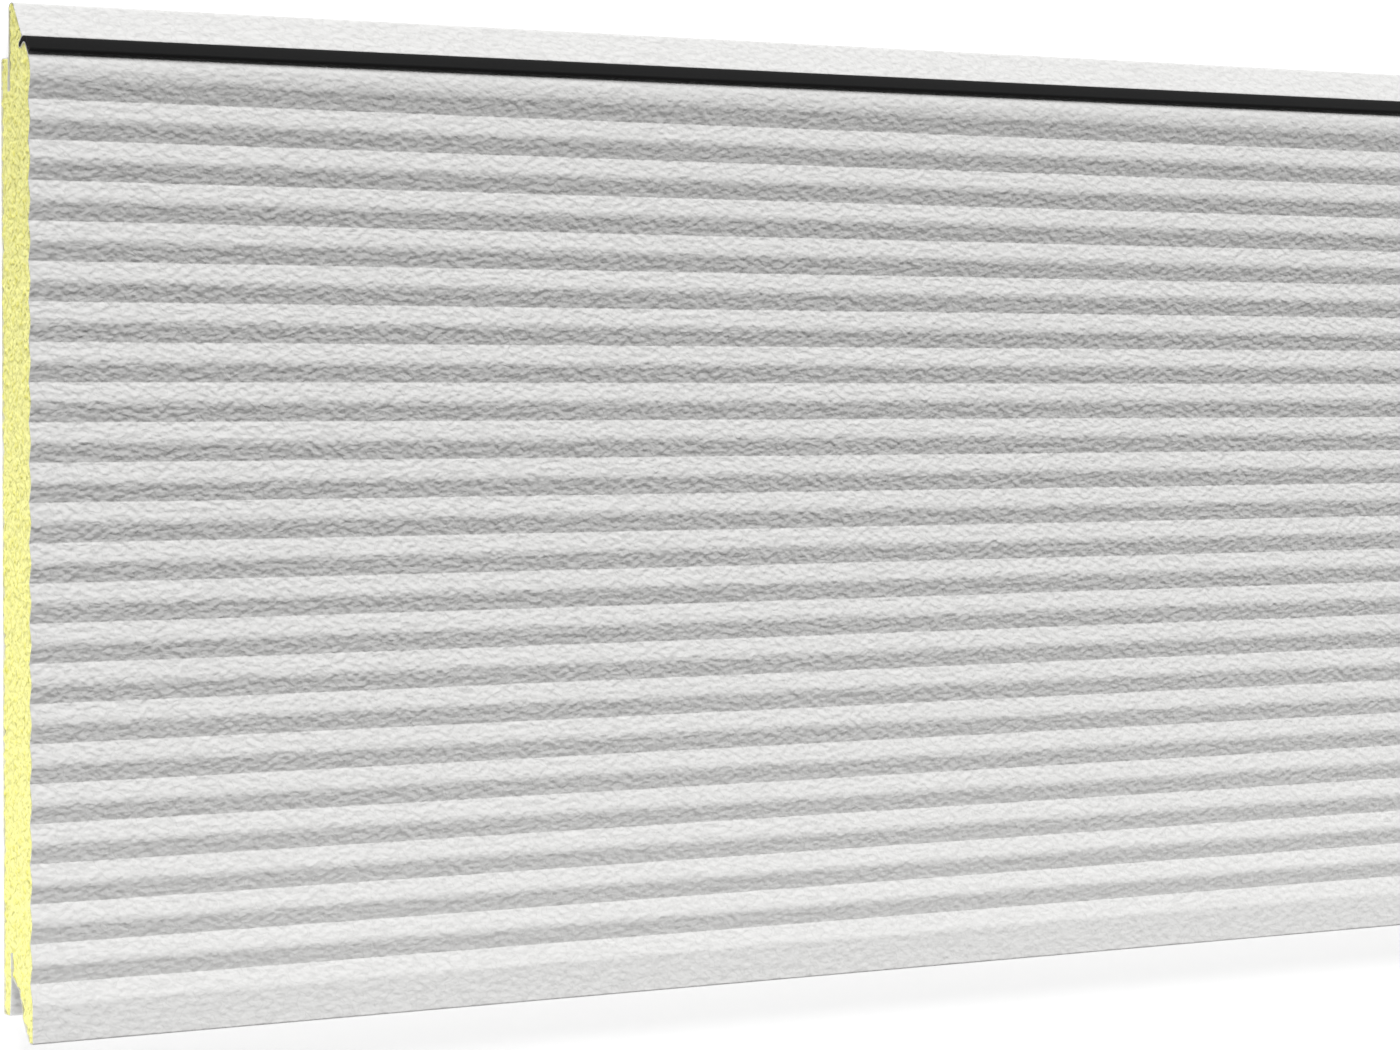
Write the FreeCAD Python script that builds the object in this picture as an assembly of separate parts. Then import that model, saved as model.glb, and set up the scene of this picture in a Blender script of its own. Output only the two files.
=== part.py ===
import FreeCAD, Part

# Insulated sandwich panel, as used for sectional doors and facades: two thin steel
# skins foamed together, with a tongue along one long edge and a groove along the other
# so that panels stack edge on edge, and a rubber seal in the joint.
#
# The panel lies on its inner face. X runs along its length, Y across it towards the
# tongue, and Z up through it to the ribbed outer face. The origin is on the inner face,
# in the middle of the overall box.
#
# Each piece is one cross-section pushed out along X. A section is a run of corners,
# each a point (y, z) and a bend radius, with y measured from the bottom of the lip and
# z from the inner face. A skin's run goes round the panel from the groove, up the outer
# face, over the tongue and down the inner face, so the foam is always on the same side.

import math
import os

# ---- sizes in millimetres, angles in degrees ----

# the panel
length = 2500.0
cover_height = 500.0        # from the bottom of one lip to the bottom of the next
thickness = 40.0            # inner face to rib crests
sheet = 0.5                 # steel of both skins
fold_radius = 1.2           # outside radius of a tight fold

# ribs of the outer face
rib_pitch = 20.0
rib_depth = 3.0
first_valley = 30.0         # above the bottom of the lip
crest_radius = 7.0
valley_radius = 0.8

# nose of the outer skin, which carries the seal
joint_gap = 1.4             # nose top to the bottom of the next lip
brow_radius = 16.0          # bend from the front face into the nose's slope
nose_slope = 34.0           # fall of the nose from the front face
nose_radius = 3.0           # tip
nose_setback = 9.2          # rib crests to the middle of the tip
seal_groove_fall = 35.0     # angle of the seal groove behind the nose
seal_groove_depth = 4.4
seal_groove_wall = 6.1      # floor of the seal groove to the foot of the tongue

# seal
seal_thickness = 2.5
seal_clearance = 0.15
seal_standoff = 0.3         # room between the nose's tip and the seal's bend
seal_flare = 10.0           # opening of the seal's lip off the nose's slope

# tongue
tongue_rise = 19.0          # above the cover height
tongue_back = 10.5          # inner face to the back of the tongue
tongue_tip = 6.0            # width across the tip
tongue_radius = 3.1

# shoulder of the inner skin, behind the tongue
shoulder_drop = 8.0         # below the cover height
shoulder_radius = 2.5

# leg of the inner skin, behind the groove
leg_lift = 10.0             # above the bottom of the lip
leg_foot = 9.2
leg_root = 10.9
leg_radius = 2.0

# groove that takes the next panel's tongue: its ceiling, and the lip in front of it,
# whose wall is measured from the rib crests
ceiling_at_leg = 30.3
ceiling_at_lip = 24.5
ceiling_radius = 2.0
lip_head = 18.4
lip_waist_top = 14.6
lip_waist_bottom = 13.7
lip_foot = 4.6
waist_top_height = 15.8
waist_bottom_height = 10.9
waist_radius = 3.0

# seams, where both skins are turned into the foam and hemmed
seam_gap = 0.5
top_seam = 17.0             # depth below the shoulder
bottom_seam = 12.2          # depth above the groove's ceiling
hem_return = 8.0

# stiffening grooves pressed into the inner face
press_pitch = 100.0
first_press = 96.0
press_width = 14.0
press_depth = 1.8
press_edge_radius = 6.0
press_floor_radius = 8.0

# ---- places that follow from the sizes ----

nose_top = cover_height - joint_gap
nose_tip = FreeCAD.Vector(0, nose_top - nose_radius, thickness - nose_setback)
tongue_top = cover_height + tongue_rise
shoulder = cover_height - shoulder_drop
seal_groove_width = seal_thickness + 2 * seal_clearance

# ---- runs of corners ----


def corner(y, z, radius=0.0):
    return FreeCAD.Vector(0, y, z), radius


def along(angle):
    """Unit vector at an angle turned from +Z towards +Y."""
    return FreeCAD.Vector(0, math.sin(math.radians(angle)), math.cos(math.radians(angle)))


def towards(start, end):
    return (end[0] - start[0]).normalize()


def to_foam(run):
    """Unit vector from a stretch of skin to the foam."""
    return FreeCAD.Vector(0, run.z, -run.y)


def beside(corners, distance):
    """The same run, moved sideways towards the foam, with its bends still concentric."""
    moved = []
    for i, (point, radius) in enumerate(corners):
        before = towards(corners[i - 1], corners[i]) if i else towards(corners[0], corners[1])
        after = towards(corners[i], corners[i + 1]) if i + 1 < len(corners) else before
        sideways = to_foam(before) + to_foam(after)
        outward_bend = before.dot(to_foam(after)) < 0
        moved_radius = radius - distance if outward_bend else radius + distance
        reach = distance / (1 + to_foam(before).dot(to_foam(after)))
        moved.append((point + sideways * reach, moved_radius if radius else 0.0))
    return moved


def bend_about(centre, radius, before, after):
    """The corner between two directions of a skin whose bend has this centre."""
    away = (to_foam(before) + to_foam(after)) * -1
    reach = radius / (1 + to_foam(before).dot(to_foam(after)))
    return centre + away * reach, radius


def slide(point, run, height):
    """The point that lies at a height on the line through a point."""
    return point + run * ((height - point.z) / run.z)


def hem(end, inward, across):
    """Corners of the flat hem at a skin's end, from its foot to its fold."""
    foot = end + inward * hem_return
    return [(foot, 0.0), (foot + across * sheet, 0.0), (end + across * sheet, sheet)]


def foam_side(skin):
    """The side of a skin that touches the foam, with a hem at both ends."""
    side = beside(skin, sheet)
    first_inward = towards(skin[0], skin[1])
    last_inward = towards(skin[-1], skin[-2])
    first_hem = hem(side[0][0], first_inward, to_foam(first_inward))
    last_hem = hem(side[-1][0], last_inward, to_foam(last_inward) * -1)
    return first_hem[::-1] + side[1:-1] + last_hem


def rounded(corners):
    """A flat face at the panel's left end from a closed run of corners."""
    stops = []
    for i, (point, radius) in enumerate(corners):
        before = towards(corners[i - 1], corners[i])
        after = towards(corners[i], corners[(i + 1) % len(corners)])
        half_turn = before.getAngle(after) / 2
        reach = radius * math.tan(half_turn)
        bulge = radius * (1 / math.cos(half_turn) - 1)
        middle = point + (after - before).normalize() * bulge if radius else point
        stops.append((point - before * reach, middle, point + after * reach))
    left_end = FreeCAD.Vector(-length / 2, 0, 0)
    edges = []
    for i, (start, middle, end) in enumerate(stops):
        stretch_start = stops[i - 1][2]
        if stretch_start.distanceToPoint(start) > 1e-6:
            edges.append(Part.LineSegment(stretch_start + left_end, start + left_end).toShape())
        if corners[i][1]:
            edges.append(Part.Arc(start + left_end, middle + left_end, end + left_end).toShape())
    return Part.Face(Part.Wire(edges))


# ---- the two skins ----


def ribs():
    """Valleys and crests of the outer face, as many as fit below the nose."""
    half_pitch = rib_pitch / 2
    brow = nose()[0][0].y - brow_radius * math.tan(math.radians(nose_slope) / 2)
    crest_reach = crest_radius * rib_depth / rib_pitch
    count = int((brow - crest_reach - first_valley - half_pitch) / rib_pitch) + 1
    run = [corner(first_valley - half_pitch, thickness, crest_radius)]
    for i in range(count):
        valley = first_valley + i * rib_pitch
        run.append(corner(valley, thickness - rib_depth, valley_radius))
        run.append(corner(valley + half_pitch, thickness, crest_radius))
    return run


def nose():
    """The outer skin from the front face over the nose to the floor of the seal groove."""
    slope = along(90 + nose_slope)
    back = along(180 + seal_groove_fall)
    tip = bend_about(nose_tip, nose_radius, slope, back)
    brow = slide(tip[0], slope, thickness)
    floor = nose_tip + along(90 + seal_groove_fall) * nose_radius + back * seal_groove_depth
    return [(brow, brow_radius), tip, (floor, seal_groove_width / 2)]


def seal_groove_back():
    """The far side of the seal groove, from its floor to the foot of the tongue."""
    floor = nose()[-1][0] + along(seal_groove_fall + 90) * seal_groove_width
    foot = floor + along(seal_groove_fall) * seal_groove_wall
    return [(floor, seal_groove_width / 2), (foot, fold_radius)]


def outer_skin():
    seam_face = leg_root + seam_gap
    groove = [
        corner(ceiling_at_leg + bottom_seam, seam_face, sheet),
        corner(ceiling_at_leg, seam_face, fold_radius),
        corner(ceiling_at_lip, thickness - lip_head, ceiling_radius),
        corner(waist_top_height, thickness - lip_waist_top, waist_radius),
        corner(waist_bottom_height, thickness - lip_waist_bottom, waist_radius),
    ]
    lip = [
        corner(0, thickness - lip_foot, fold_radius),
        corner(0, thickness, fold_radius),
    ]
    tongue = [
        corner(tongue_top, tongue_back + tongue_tip, tongue_radius),
        corner(tongue_top, tongue_back, tongue_radius),
        corner(shoulder - top_seam, tongue_back, sheet),
    ]
    return groove + lip + ribs() + nose() + seal_groove_back() + tongue


def presses():
    """Shallow stiffening grooves of the inner face, from the tongue to the leg."""
    count = int((shoulder - first_press) / press_pitch + 0.5)
    run = []
    for i in reversed(range(count)):
        middle = first_press + i * press_pitch
        run.append(corner(middle + press_width / 2, 0, press_edge_radius))
        run.append(corner(middle, press_depth, press_floor_radius))
        run.append(corner(middle - press_width / 2, 0, press_edge_radius))
    return run


def inner_skin():
    seam_face = tongue_back - seam_gap
    top = [
        corner(shoulder - top_seam, seam_face, sheet),
        corner(shoulder, seam_face, fold_radius),
        corner(shoulder, 0, shoulder_radius),
    ]
    leg = [
        corner(leg_lift, 0, leg_radius),
        corner(leg_lift, leg_foot, leg_radius),
        corner(ceiling_at_leg, leg_root, fold_radius),
        corner(ceiling_at_leg + bottom_seam, leg_root, sheet),
    ]
    return top + presses() + leg


def skin_section(skin):
    return rounded(skin + foam_side(skin)[::-1])


# ---- what lies between and on the skins ----


def core_section():
    """The foam, from skin to skin."""
    return rounded(foam_side(outer_skin()) + foam_side(inner_skin()))


def seal_section():
    """A lip seal: a round foot in the groove, a bend over the nose and a flared lip."""
    lip = along(90 + nose_slope + seal_flare)
    back = along(180 + seal_groove_fall)
    across = along(90 + seal_groove_fall)
    middle = nose_tip - back * seal_standoff
    under = bend_about(middle, nose_radius + seal_clearance, lip, back)
    over = bend_about(middle, nose_radius + seal_clearance + seal_thickness, lip, back)
    outer_end = slide(over[0], lip, thickness)
    inner_end = outer_end + to_foam(lip) * seal_thickness
    foot = nose()[-1][0] + (across - back) * seal_clearance
    far_foot = foot + across * seal_thickness
    end_radius = seal_thickness / 2
    return rounded([
        (inner_end, 0.0),
        under,
        (foot, end_radius),
        (far_foot, end_radius),
        over,
        (outer_end, 0.0),
    ])


# ---- write the pieces ----

sections = {
    "outer_skin": skin_section(outer_skin()),
    "inner_skin": skin_section(inner_skin()),
    "foam_core": core_section(),
    "joint_seal": seal_section(),
}

os.makedirs("parts", exist_ok=True)
for name, face in sections.items():
    solid = face.extrude(FreeCAD.Vector(length, 0, 0))
    solid.translate(FreeCAD.Vector(0, -tongue_top / 2, 0))
    solid.exportStep(f"parts/{name}.step")
    box = solid.BoundBox
    print(f"{name}: {solid.Volume / 1000:.1f} cm3, {box.XLength:.1f} x {box.YLength:.1f} x {box.ZLength:.1f} mm")
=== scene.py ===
# %% [markdown]
# # Insulated sandwich panel: the looks
#
# The panel is a facade or sectional-door panel: two thin coated steel skins with yellow polyurethane
# foam between them, a row of shallow ribs along the outer skin, a stucco emboss on both skins, and a
# black lip seal in the joint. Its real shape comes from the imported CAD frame, so this script never
# moves or resizes a piece. It gives every surface its finish, cuts the foam's ends rough, rounds the
# seal's lip, and sets up the floor, the light and the camera.
#
# In this frame X runs along the panel, +Y points to the tongue edge, and +Z points out of the ribbed
# face. The panel lies on its plain inner face, so the floor is at Z = 0.

import math

import bmesh
import bpy
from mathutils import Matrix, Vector, noise


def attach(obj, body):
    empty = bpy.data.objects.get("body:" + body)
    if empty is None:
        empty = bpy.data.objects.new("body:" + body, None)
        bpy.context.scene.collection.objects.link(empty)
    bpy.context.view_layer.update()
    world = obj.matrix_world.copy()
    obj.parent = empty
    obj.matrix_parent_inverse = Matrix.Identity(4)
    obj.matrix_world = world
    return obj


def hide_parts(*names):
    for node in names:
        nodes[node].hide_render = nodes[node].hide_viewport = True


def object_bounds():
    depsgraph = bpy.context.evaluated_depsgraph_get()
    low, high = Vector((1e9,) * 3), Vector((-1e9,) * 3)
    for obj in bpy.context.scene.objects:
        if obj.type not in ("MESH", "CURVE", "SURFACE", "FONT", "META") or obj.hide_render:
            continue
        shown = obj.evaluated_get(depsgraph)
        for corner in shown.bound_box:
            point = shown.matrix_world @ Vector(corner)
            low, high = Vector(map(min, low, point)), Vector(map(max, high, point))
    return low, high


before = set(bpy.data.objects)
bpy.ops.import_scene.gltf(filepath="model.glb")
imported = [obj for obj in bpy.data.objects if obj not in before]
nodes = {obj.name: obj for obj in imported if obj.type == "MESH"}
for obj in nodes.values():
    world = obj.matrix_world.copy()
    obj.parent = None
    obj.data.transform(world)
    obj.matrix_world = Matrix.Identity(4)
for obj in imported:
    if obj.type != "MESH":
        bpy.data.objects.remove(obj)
scene = bpy.context.scene
cad_low, cad_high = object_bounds()
MM = 0.001
SAME_POINT = 1e-6
ON_PLANE = 1e-7
print("panel box", [round(value, 4) for value in (*cad_low, *cad_high)])

# %% [markdown]
# ## The camera
#
# A panel is usually shown close to one cut end, so that the foam, the joint edges and the face are
# seen together. The camera hangs nearly two metres above the face, a little past the left end, and
# turns back along the panel. A long lens keeps the ribs nearly parallel. Because a Blender camera
# with no rotation looks straight down, the turn, the dip and the roll can be written as three small
# angles from "looking square at the face".

# %% Camera
LENS = 103.62
CAMERA_PAST_END = 0.7354
CAMERA_ACROSS = 0.0793
CAMERA_HEIGHT = 1.9234
CAMERA_TURN = math.radians(30.754)
CAMERA_DIP = math.radians(2.247)
CAMERA_ROLL = math.radians(0.215)


def make_camera():
    """The camera that hangs over the left end and looks back along the ribs."""
    camera_data = bpy.data.cameras.new("camera")
    camera_data.lens = LENS
    camera = bpy.data.objects.new("camera", camera_data)
    camera.location = (cad_low.x - CAMERA_PAST_END, CAMERA_ACROSS, CAMERA_HEIGHT)
    camera.rotation_mode = "ZXY"
    camera.rotation_euler = (-CAMERA_DIP, -CAMERA_TURN, CAMERA_ROLL)
    scene.collection.objects.link(camera)
    scene.camera = camera
    return camera


camera = make_camera()
print("camera at", [round(value, 3) for value in camera.location])

# %% [markdown]
# ## Small helpers for materials
#
# A procedural finish is a handful of shader nodes. One helper adds a node and sets its inputs, so
# that each material below reads as a list of what it is made of. The others wrap the nodes that come
# up again and again: a step of arithmetic, a pattern pulled out along one direction, a blend of two
# colours, a relief, and a noise pattern whose grain is given as a real size in metres. A noise
# texture's Scale counts cells per metre on Object coordinates, so it is simply one divided by that
# size. The last helper joins colour, roughness and relief into a finished material.

# %% Material helpers


def new_material(name):
    """An empty node material, with its node tree."""
    material = bpy.data.materials.new(name)
    material.use_nodes = True
    material.node_tree.nodes.clear()
    return material, material.node_tree


def add_node(tree, kind, inputs=None, **settings):
    """A node with its settings and its input values, or links where a value is another socket."""
    node = tree.nodes.new(kind)
    for name, value in settings.items():
        setattr(node, name, value)
    for name, value in (inputs or {}).items():
        if isinstance(value, bpy.types.NodeSocket):
            tree.links.new(value, node.inputs[name])
        else:
            node.inputs[name].default_value = value
    return node


def maths(tree, operation, first, second=0.0, third=0.0):
    """The result of one maths node."""
    values = {0: first, 1: second, 2: third}
    return add_node(tree, "ShaderNodeMath", values, operation=operation).outputs[0]


def stretched(tree, place, along_x=1.0, along_y=1.0):
    """Coordinates on which a pattern comes out this many times longer along X or Y."""
    scale = (1 / along_x, 1 / along_y, 1.0)
    return add_node(tree, "ShaderNodeMapping", {"Vector": place, "Scale": scale}).outputs[0]


def grain(tree, place, size, detail=0.0, roughness=0.5, distortion=0.0):
    """A noise pattern from 0 to 1 whose cells are this many metres across."""
    values = {
        "Vector": place,
        "Scale": 1 / size,
        "Detail": detail,
        "Roughness": roughness,
        "Distortion": distortion,
    }
    return add_node(tree, "ShaderNodeTexNoise", values).outputs["Fac"]


def blend_colours(tree, factor, first, second):
    """A colour between two others."""
    node = add_node(tree, "ShaderNodeMix", {0: factor}, data_type="RGBA")
    sockets = {socket.name: socket for socket in node.inputs if socket.type == "RGBA"}
    sockets["A"].default_value = (*first, 1.0)
    sockets["B"].default_value = (*second, 1.0)
    return next(socket for socket in node.outputs if socket.type == "RGBA")


def raised(tree, height, distance):
    """A surface normal for a relief of this height, without any new geometry."""
    values = {"Height": height, "Strength": 1.0, "Distance": distance}
    return add_node(tree, "ShaderNodeBump", values).outputs["Normal"]


def complete(material, tree, colour, roughness, shine, normal):
    """Complete a material: its colour, roughness, mirror reflection and relief."""
    values = {
        "Base Color": colour,
        "Roughness": roughness,
        "Specular IOR Level": shine,
        "Normal": normal,
    }
    surface = add_node(tree, "ShaderNodeBsdfPrincipled", values).outputs["BSDF"]
    add_node(tree, "ShaderNodeOutputMaterial", {"Surface": surface})
    return material


print("material helpers ready")

# %% [markdown]
# ## Stucco-embossed coated steel
#
# The skins are coil-coated steel that has passed between embossing rolls. The rolls leave a stucco
# grain: a soft, irregular swell about three millimetres across, pulled out a little along the coil,
# with finer creases through it. It hides scratches and stiffens the sheet.
#
# The grain is a few tenths of a millimetre deep, and there are tens of thousands of swells on each
# skin, too many for real geometry, so it is a bump in the material. Two noise patterns make it. A
# smooth one is the swell, and the middle line of a second one, where it crosses its own mean, makes
# the creases. Noise seldom uses more than the middle third of its range, so the depth given to the
# bump is a few times the depth that shows. The rolls that fold the joints can press the grain flatter
# beside them, so here the height fades a little towards both edges. The coating's gloss wanders very
# slightly, as paint does on a real sheet, and painted shade darkens the creases a trace towards grey.

# %% Coated steel
STUCCO_SWELL = 2.95 * MM
STUCCO_CREASE_SPACING = 5.2 * MM
STUCCO_STRETCH = 1.35
STUCCO_DEPTH = 1.45 * MM
STUCCO_MIDDLE = 0.03
STUCCO_FADE = 7.0
CREASE_LEVEL = 0.5
CREASE_SHARPNESS = 12.0
CREASE_DEPTH = 0.05
COATING = (0.80, 0.797, 0.788)
# Painted shade: the darker grey painted into the stucco creases.
COATING_PAINTED_CREASE_SHADE = (0.74, 0.737, 0.728)
COATING_ROUGHNESS = 0.66
COATING_GLOSS_PATCH = 40 * MM
COATING_GLOSS_CHANGE = 0.12
COATING_SHINE = 0.2


def stucco(tree, place):
    """The emboss as a height from 0 to 1, and where its creases are."""
    pulled = stretched(tree, place, along_x=STUCCO_STRETCH)
    swell = grain(tree, pulled, STUCCO_SWELL, detail=1.0, roughness=0.3)
    lines = grain(tree, pulled, STUCCO_CREASE_SPACING, detail=1.0, roughness=0.4, distortion=0.7)
    off_line = maths(tree, "ABSOLUTE", maths(tree, "SUBTRACT", lines, CREASE_LEVEL))
    crease = maths(tree, "MULTIPLY_ADD", off_line, -CREASE_SHARPNESS, 1.0)
    crease = maths(tree, "MAXIMUM", crease, 0.0)
    grainy = maths(tree, "MULTIPLY_ADD", crease, -CREASE_DEPTH, swell)
    across = add_node(tree, "ShaderNodeSeparateXYZ", {"Vector": place}).outputs["Y"]
    off_middle = maths(tree, "SUBTRACT", across, STUCCO_MIDDLE)
    fade = maths(tree, "MULTIPLY", off_middle, off_middle)
    pressure = maths(tree, "MULTIPLY_ADD", fade, -STUCCO_FADE, 1.0)
    return maths(tree, "MULTIPLY", grainy, pressure), crease


def coated_steel(name):
    """Satin coil coating over stucco-embossed sheet."""
    material, tree = new_material(name)
    place = add_node(tree, "ShaderNodeTexCoord").outputs["Object"]
    height, crease = stucco(tree, place)
    normal = raised(tree, height, STUCCO_DEPTH)
    # Painted shade: the coating is painted a darker grey along the creases.
    colour = blend_colours(tree, crease, COATING, COATING_PAINTED_CREASE_SHADE)
    gloss = grain(tree, place, COATING_GLOSS_PATCH, detail=3.0)
    roughness = maths(tree, "MULTIPLY_ADD", gloss, COATING_GLOSS_CHANGE, COATING_ROUGHNESS)
    return complete(material, tree, colour, roughness, COATING_SHINE, normal)


def dress(node_name, material):
    """Put a material in every slot of a CAD node."""
    for slot in nodes[node_name].material_slots:
        slot.material = material


dress("outer_skin", coated_steel("outer_coating"))
dress("inner_skin", coated_steel("inner_coating"))
print("coated steel on both skins, stucco swell", STUCCO_SWELL / MM, "mm")

# %% [markdown]
# ## Copies of CAD pieces
#
# Two pieces get geometry of their own: the foam, whose ends are rough, and the seal, whose lip is
# round. Each starts as a copy of its CAD piece. A CAD piece arrives as loose triangles, so the copy's
# points are merged first. The new object sits at the origin, as the CAD piece does, so it lies in the
# same place.

# %% Copy helpers


def merged_copy(node_name):
    """A bmesh of a CAD node with its loose triangles joined up."""
    mesh = bmesh.new()
    mesh.from_mesh(nodes[node_name].data)
    bmesh.ops.remove_doubles(mesh, verts=mesh.verts[:], dist=SAME_POINT)
    return mesh


def add_piece(name, mesh):
    """A new object at the origin from a finished bmesh, which is then freed."""
    piece_mesh = bpy.data.meshes.new(name)
    mesh.to_mesh(piece_mesh)
    mesh.free()
    piece = bpy.data.objects.new(name, piece_mesh)
    scene.collection.objects.link(piece)
    return piece


print("copy helpers ready")

# %% [markdown]
# ## The sawn foam
#
# The foam is rigid polyurethane, foamed between the skins and then sawn through with them when the
# panel is cut to length. A saw tears the cells open, so the cut is a rough, pale yellow face with
# lumps a few millimetres across, drawn out a little along the saw's path, and smaller pits in them.
#
# The CAD core has perfectly flat ends, so it is replaced by a copy of itself whose ends are rough in
# real geometry. First the end needs a fine, even mesh. It is dissolved to one face, and planes cut it
# into blocks about a centimetre across. Splitting every long edge in half, over and over, turns the
# blocks into small cells.

# %% A fine mesh for a cut end
SAW_BLOCK = 12.5 * MM
SAW_LONGEST_EDGE = 1.2 * MM


def faces_at(mesh, end_x):
    """The faces that lie flat in this end of the panel."""
    off_end = {vertex for vertex in mesh.verts if abs(vertex.co.x - end_x) >= SAME_POINT}
    return [face for face in mesh.faces if off_end.isdisjoint(face.verts)]


def block_cut(mesh, faces, axis):
    """Cut flat faces along evenly spaced planes, and return all their pieces."""
    normal = Vector((0, 0, 0))
    normal[axis] = 1.0
    places = [vertex.co[axis] for face in faces for vertex in face.verts]
    low, high = min(places), max(places)
    count = round((high - low) / SAW_BLOCK)
    for step in range(1, count):
        place = normal * (low + (high - low) * step / count)
        geometry = {item for face in faces for item in (face, *face.edges, *face.verts)}
        cut = bmesh.ops.bisect_plane(
            mesh, geom=list(geometry), dist=ON_PLANE, plane_co=place, plane_no=normal
        )
        faces = [item for item in cut["geom"] if isinstance(item, bmesh.types.BMFace)]
    return faces


def long_edges_of(cells):
    """The edges of these faces that are still too long."""
    edges = {edge for face in cells for edge in face.edges}
    return [edge for edge in edges if edge.calc_length() > SAW_LONGEST_EDGE]


def fine_end(mesh, end_x):
    """Divide the flat end into small cells, and return them."""
    end = bmesh.ops.dissolve_faces(mesh, faces=faces_at(mesh, end_x), use_verts=False)["region"]
    blocks = block_cut(mesh, block_cut(mesh, end, 2), 1)
    cells = bmesh.ops.triangulate(mesh, faces=blocks)["faces"]
    while long_edges := long_edges_of(cells):
        bmesh.ops.subdivide_edges(mesh, edges=long_edges, cuts=1, use_grid_fill=True)
        cells = bmesh.ops.triangulate(mesh, faces=faces_at(mesh, end_x))["faces"]
    return cells


print("cells of a cut end are at most", SAW_LONGEST_EDGE / MM, "mm long")

# %% [markdown]
# Each point of that mesh is then pushed a little way into the panel by noise: lumps for the most part,
# with finer crumbs on them and a slow wander of the whole cut. Pushing only inwards keeps the piece
# inside the steel and the panel's own length, and a ring cut just behind the end keeps the push from
# bending the long sides. The pits are hardly wider than the mesh's own cells, so they are left to the
# material.

# %% Foam with rough sawn ends
SAW_LUMP = 2.4 * MM
SAW_STRETCH = 1.6
SAW_DEPTH = 2.0 * MM
SAW_RING = 2.0 * MM
MEAN_RECESS = 0.3
LUMP_SHARE = 0.6
CRUMB_SHARE = 0.1
WANDER_SHARE = 0.1
CRUMB_SIZE = 0.45
WANDER_SIZE = 6.0
CRUMB_SHIFT = Vector((7.3, 1.9, 4.1))


def saw_recess(point):
    """How far the saw has torn into the foam at a point of the cut, in metres."""
    pulled = Vector((point.x, point.y / SAW_STRETCH, point.z)) / SAW_LUMP
    lumps = LUMP_SHARE * noise.noise(pulled)
    crumbs = CRUMB_SHARE * noise.noise(pulled / CRUMB_SIZE + CRUMB_SHIFT)
    wander = WANDER_SHARE * noise.noise(pulled / WANDER_SIZE)
    return SAW_DEPTH * max(0.0, MEAN_RECESS + lumps + crumbs + wander)


def saw_end(mesh, end_x, inward):
    """Make one end of the foam a rough sawn face, and return how many cells it has."""
    ring = Vector((end_x + inward * SAW_RING, 0, 0))
    everything = mesh.verts[:] + mesh.edges[:] + mesh.faces[:]
    bmesh.ops.bisect_plane(
        mesh, geom=everything, dist=ON_PLANE, plane_co=ring, plane_no=(1, 0, 0)
    )
    cells = fine_end(mesh, end_x)
    points = {vertex for face in cells for vertex in face.verts}
    for point in points:
        point.co.x += inward * saw_recess(point.co)
    for face in cells:
        face.smooth = True
    return len(cells)


def make_foam():
    """The foam core, with both ends rough from the saw."""
    mesh = merged_copy("foam_core")
    for face in mesh.faces:
        face.smooth = False
    cells = [saw_end(mesh, cad_low.x, 1), saw_end(mesh, cad_high.x, -1)]
    bmesh.ops.recalc_face_normals(mesh, faces=mesh.faces[:])
    foam = add_piece("sawn_foam", mesh)
    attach(foam, "root")
    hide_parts("foam_core")
    return foam, cells


foam, cells = make_foam()
foam.data.calc_loop_triangles()
print("foam end cells", cells, "triangles", len(foam.data.loop_triangles))

# %% [markdown]
# The foam's colour is a clean pale yellow. Its pits are painted a darker, deeper yellow, which is
# painted shade in the recesses, and the block is a little uneven in tone because foam rises
# in waves. It is quite matt: cut cells scatter light in all directions, so its roughness is high and
# its mirror reflection is nearly nothing.

# %% Foam finish
FOAM = (0.96, 0.94, 0.40)
# The darker yellow serves both the uneven tone of the foam's waves and the painted shade in the pits.
FOAM_DEEPER_TONE_AND_PIT_SHADE = (0.85, 0.81, 0.16)
FOAM_PIT = 1.9 * MM
FOAM_PIT_DEPTH = 2.6 * MM
FOAM_PIT_RIM = 0.48
FOAM_PIT_FLOOR = 0.26
FOAM_PIT_SHADE = 0.6
FOAM_WAVE = 14 * MM
FOAM_WAVE_TONE = 0.35
FOAM_CLEAN_SHARE = 0.12
FOAM_ROUGHNESS = 0.85
FOAM_ROUGHNESS_CHANGE = 0.1
FOAM_SHINE = 0.2


def foam_finish():
    """Sawn polyurethane foam."""
    material, tree = new_material("sawn_foam")
    place = add_node(tree, "ShaderNodeTexCoord").outputs["Object"]
    pulled = stretched(tree, place, along_y=SAW_STRETCH)
    relief = grain(tree, pulled, FOAM_PIT, detail=1.0, roughness=0.4)
    waves = grain(tree, place, FOAM_WAVE, detail=2.0)
    # Painted shade: where the relief is low, the pits are painted a darker yellow.
    pit_range = {"Value": relief, "From Min": FOAM_PIT_RIM, "From Max": FOAM_PIT_FLOOR}
    pits = add_node(tree, "ShaderNodeMapRange", pit_range).outputs[0]
    tone_and_pit_shade = maths(tree, "MULTIPLY", pits, FOAM_PIT_SHADE)
    tone_and_pit_shade = maths(tree, "MULTIPLY_ADD", waves, FOAM_WAVE_TONE, tone_and_pit_shade)
    tone_and_pit_shade = maths(tree, "SUBTRACT", tone_and_pit_shade, FOAM_CLEAN_SHARE)
    tone_and_pit_shade = maths(tree, "MAXIMUM", tone_and_pit_shade, 0.0)
    colour = blend_colours(tree, tone_and_pit_shade, FOAM, FOAM_DEEPER_TONE_AND_PIT_SHADE)
    roughness = maths(tree, "MULTIPLY_ADD", relief, FOAM_ROUGHNESS_CHANGE, FOAM_ROUGHNESS)
    normal = raised(tree, relief, FOAM_PIT_DEPTH)
    return complete(material, tree, colour, roughness, FOAM_SHINE, normal)


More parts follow.
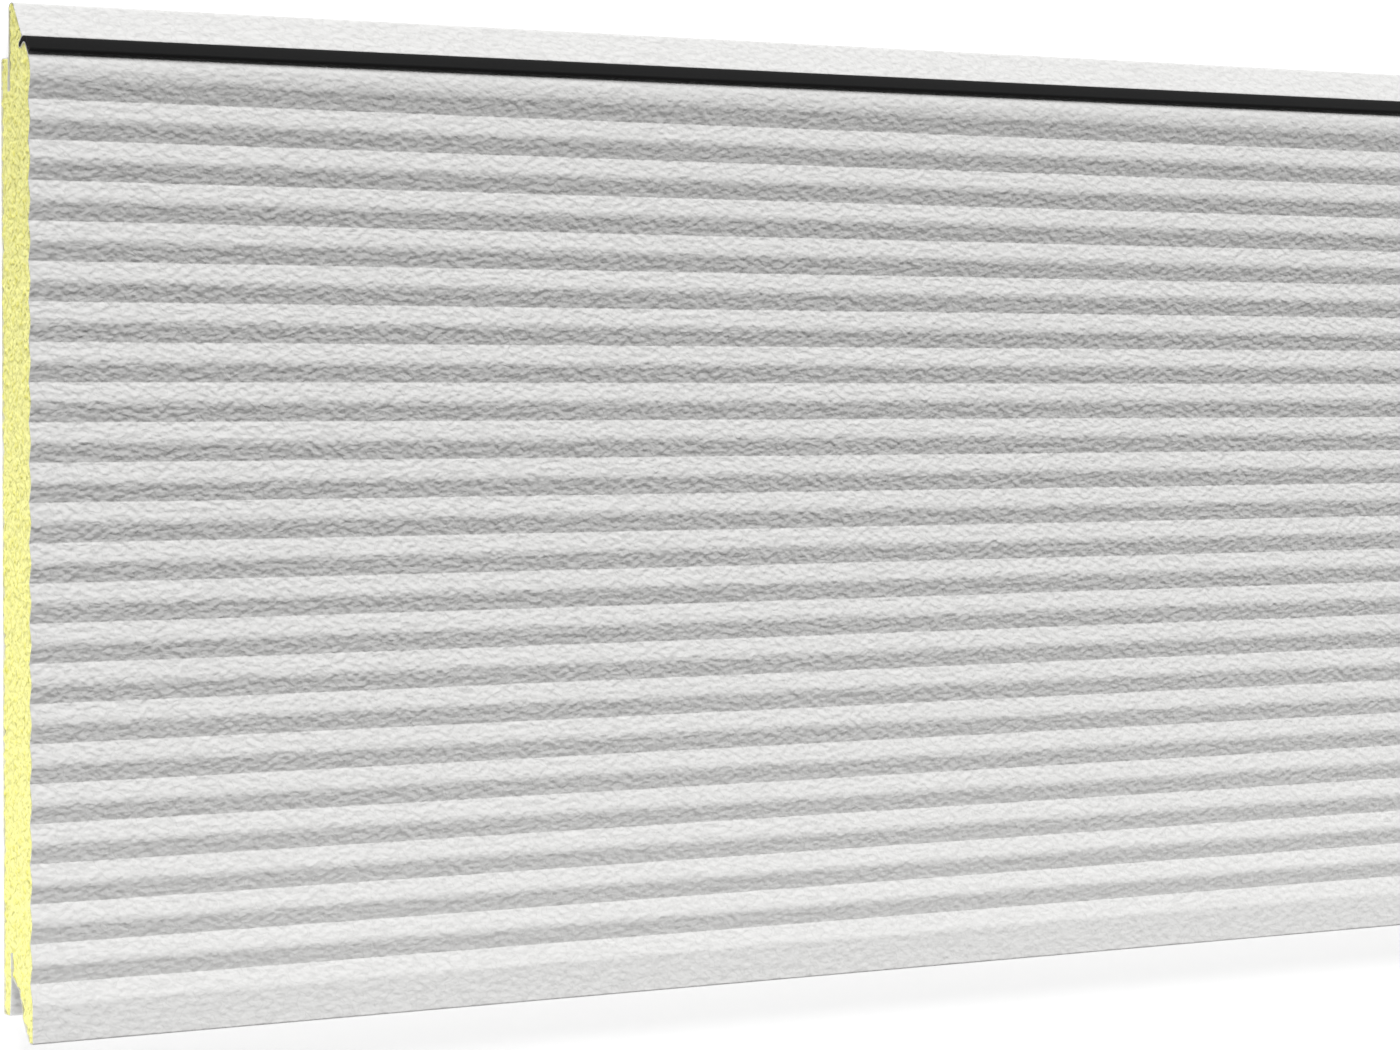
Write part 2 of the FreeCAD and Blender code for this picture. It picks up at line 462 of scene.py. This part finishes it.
foam.data.materials.clear()
foam.data.materials.append(foam_finish())
print("foam finish, pits", FOAM_PIT / MM, "mm")

# %% [markdown]
# ## The rubber seal
#
# The seal is an extruded lip of black EPDM rubber, pushed into the groove behind the nose. An
# extruded rubber edge is never sharp, because the die is rounded and the rubber swells as it leaves
# it. The CAD seal has square corners on its lip, so a merged copy of it takes its place, and only the
# long edges that turn sharply are bevelled round. The bevel takes rubber away and adds none, so the
# seal still fits its groove and reaches no further than before.

# %% Seal with a rounded lip
LIP_ROUND = 0.9 * MM
LIP_STEPS = 4
FLAT_ANGLE = math.radians(0.05)
CORNER_ANGLE = math.radians(60)
LONG_RUN = 1.0
END_FACING = 0.5


def is_long_corner(edge):
    """Whether an edge runs along the panel and turns sharply."""
    run = abs(edge.verts[0].co.x - edge.verts[1].co.x)
    return run > LONG_RUN and edge.calc_face_angle(0.0) > CORNER_ANGLE


def make_seal():
    """The joint seal, with the corners of its lip rounded."""
    mesh = merged_copy("joint_seal")
    bmesh.ops.dissolve_limit(
        mesh, angle_limit=FLAT_ANGLE, verts=mesh.verts[:], edges=mesh.edges[:]
    )
    corners = [edge for edge in mesh.edges if is_long_corner(edge)]
    bmesh.ops.bevel(
        mesh,
        geom=corners,
        offset=LIP_ROUND,
        offset_type="OFFSET",
        segments=LIP_STEPS,
        profile=0.5,
        affect="EDGES",
        material=-1,
    )
    bmesh.ops.recalc_face_normals(mesh, faces=mesh.faces[:])
    for face in mesh.faces:
        face.smooth = abs(face.normal.x) < END_FACING
    seal = add_piece("lip_seal", mesh)
    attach(seal, "root")
    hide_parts("joint_seal")
    return seal, len(corners)


seal, corner_count = make_seal()
print("lip seal", len(seal.data.polygons), "faces,", corner_count, "corners rounded")

# %% [markdown]
# The rubber is nearly black and matt. It has the faint drag lines that an extrusion die leaves
# along the strip, and a little bloom that lifts the black here and there.

# %% Rubber
RUBBER = (0.005, 0.005, 0.0052)
RUBBER_BLOOM = (0.010, 0.010, 0.010)
RUBBER_BLOOM_PATCH = 25 * MM
RUBBER_ROUGHNESS = 0.8
RUBBER_ROUGHNESS_CHANGE = 0.1
RUBBER_SHINE = 0.12
DIE_LINE = 0.35 * MM
DIE_LINE_LENGTH = 60 * MM
DIE_LINE_DEPTH = 0.03 * MM


def rubber_finish():
    """Extruded black rubber."""
    material, tree = new_material("seal_rubber")
    place = add_node(tree, "ShaderNodeTexCoord").outputs["Object"]
    drawn = stretched(tree, place, along_x=DIE_LINE_LENGTH / DIE_LINE)
    lines = grain(tree, drawn, DIE_LINE, detail=1.0)
    bloom = grain(tree, place, RUBBER_BLOOM_PATCH, detail=4.0)
    colour = blend_colours(tree, bloom, RUBBER, RUBBER_BLOOM)
    roughness = maths(tree, "MULTIPLY_ADD", bloom, RUBBER_ROUGHNESS_CHANGE, RUBBER_ROUGHNESS)
    normal = raised(tree, lines, DIE_LINE_DEPTH)
    return complete(material, tree, colour, roughness, RUBBER_SHINE, normal)


seal.data.materials.clear()
seal.data.materials.append(rubber_finish())
print("rubber on the lip seal, die lines", DIE_LINE / MM, "mm")

# %% [markdown]
# ## The floor
#
# The panel lies on a plain white studio floor. A white floor lit like the panel would come out light
# grey, because the light is kept at a plain level for the object's sake. So the floor adds a faint
# glow of its own, but only for rays that come from the camera or from a glossy reflection. That
# makes it white to look at without throwing any more light on the panel, and its shadow stays.

# %% Floor
FLOOR_SIZE = 12.0
FLOOR_PAINT = 0.8
FLOOR_GLOW = 0.66


def seen_rays(tree):
    """1 for a ray from the camera, a reflection or through glass, and 0 for any other."""
    ray = add_node(tree, "ShaderNodeLightPath")
    seen = maths(tree, "MAXIMUM", ray.outputs["Is Camera Ray"], ray.outputs["Is Glossy Ray"])
    return maths(tree, "MAXIMUM", seen, ray.outputs["Is Transmission Ray"])


def floor_finish():
    """White paint that glows a little, for the camera and for reflections only."""
    material, tree = new_material("floor")
    strength = maths(tree, "MULTIPLY", seen_rays(tree), FLOOR_GLOW)
    glow = add_node(tree, "ShaderNodeEmission", {"Strength": strength})
    white = (FLOOR_PAINT, FLOOR_PAINT, FLOOR_PAINT, 1.0)
    paint = add_node(tree, "ShaderNodeBsdfDiffuse", {"Color": white})
    both = add_node(tree, "ShaderNodeAddShader", {0: paint.outputs[0], 1: glow.outputs[0]})
    add_node(tree, "ShaderNodeOutputMaterial", {"Surface": both.outputs[0]})
    return material


def make_floor():
    """A large square floor under the panel."""
    mesh = bmesh.new()
    bmesh.ops.create_grid(mesh, x_segments=1, y_segments=1, size=FLOOR_SIZE / 2)
    floor = add_piece("floor", mesh)
    floor.data.materials.append(floor_finish())
    return floor


floor = make_floor()
print("floor", FLOOR_SIZE, "m square, faces", len(floor.data.polygons))

# %% [markdown]
# ## The light
#
# Ribs this shallow only show when light crosses them. The key light therefore comes from the tongue
# side, well off the square, so that each rib has a bright flank and a grey one. It is a wide, soft
# sun. A white card beside the lip fills the last few ribs, and a faint one low down past each cut end
# shows the bare steel there without touching the face, because it stands no higher than the panel.
#
# Rough foam needs light from the side to show its lumps, and such a light would leave a bright wedge
# in the end of every rib. Blender can link a lamp to the objects that it may light, so a card past
# each corner lights the foam and the inner skin alone. The levels are plain ones: a flat white sheet
# comes out at about its own colour.

# %% Lamps
KEY_FROM = (0.0, 0.777, 0.629)
KEY_STRENGTH = 3.12
KEY_SOFTNESS = math.radians(40)
LIP_CARD = {"length": 3.2, "width": 0.1, "power": 1.15}
LIP_CARD_BESIDE = 0.10
LIP_CARD_HEIGHT = 0.25
LIP_CARD_AIM = 0.06
END_CARD = {"length": 0.3, "width": 0.05, "power": 1.1}
END_CARD_PAST = 0.6
END_MIDDLE = (-0.15, 0.03)
FOAM_CARD = {"length": 0.6, "width": 0.6, "power": 108.0}
FOAM_CARD_PAST = 2.4
FOAM_CARD_CORNER = (-3.4, 1.2)


def add_lamp(name, kind, place, aim):
    """A lamp at a place that shines towards a point."""
    lamp = bpy.data.objects.new(name, bpy.data.lights.new(name, kind))
    lamp.visible_camera = False
    lamp.location = place
    lamp.rotation_mode = "QUATERNION"
    lamp.rotation_quaternion = (Vector(place) - Vector(aim)).to_track_quat("Z", "Y")
    scene.collection.objects.link(lamp)
    return lamp


def add_card(name, place, aim, card):
    """A white card that throws light back at a point of the panel."""
    lamp = add_lamp(name, "AREA", place, aim)
    lamp.data.shape = "RECTANGLE"
    lamp.data.size = card["length"]
    lamp.data.size_y = card["width"]
    lamp.data.energy = card["power"]
    return lamp


key = add_lamp("key", "SUN", KEY_FROM, (0, 0, 0))
key.data.energy = KEY_STRENGTH
key.data.angle = KEY_SOFTNESS
lip_card_place = (0, cad_low.y - LIP_CARD_BESIDE, LIP_CARD_HEIGHT)
lip_card_aim = (0, cad_low.y + LIP_CARD_AIM, cad_high.z)
add_card("lip_card", lip_card_place, lip_card_aim, LIP_CARD)
cut_end_pieces = bpy.data.collections.new("cut_end_pieces")
for piece in (foam, nodes["inner_skin"]):
    cut_end_pieces.objects.link(piece)
for side, end_x, outward in (("left", cad_low.x, -1), ("right", cad_high.x, 1)):
    end_middle = (end_x, *END_MIDDLE)
    level_place = (end_x + outward * END_CARD_PAST, *END_MIDDLE)
    corner_place = (end_x + outward * FOAM_CARD_PAST, *FOAM_CARD_CORNER)
    add_card(f"{side}_end_card", level_place, end_middle, END_CARD)
    foam_card = add_card(f"{side}_foam_card", corner_place, end_middle, FOAM_CARD)
    foam_card.light_linking.receiver_collection = cut_end_pieces
print("lamps", [lamp.name for lamp in bpy.data.lights])

# %% [markdown]
# ## The world
#
# A weak, even light from all round keeps every other side of the panel readable. It would look nearly
# black behind the floor's far edge, so the camera and reflections see it as white, as they see the
# floor, and all other rays get the weak light.

# %% World
WORLD_STRENGTH = 0.06

world = bpy.data.worlds.new("studio")
scene.world = world
world.use_nodes = True
sky = world.node_tree.nodes["Background"]
sky.inputs["Color"].default_value = (1, 1, 1, 1)
seen = seen_rays(world.node_tree)
strength = maths(world.node_tree, "MULTIPLY_ADD", seen, 1 - WORLD_STRENGTH, WORLD_STRENGTH)
world.node_tree.links.new(strength, sky.inputs["Strength"])
scene.view_settings.view_transform = "Standard"
print("world light", WORLD_STRENGTH)
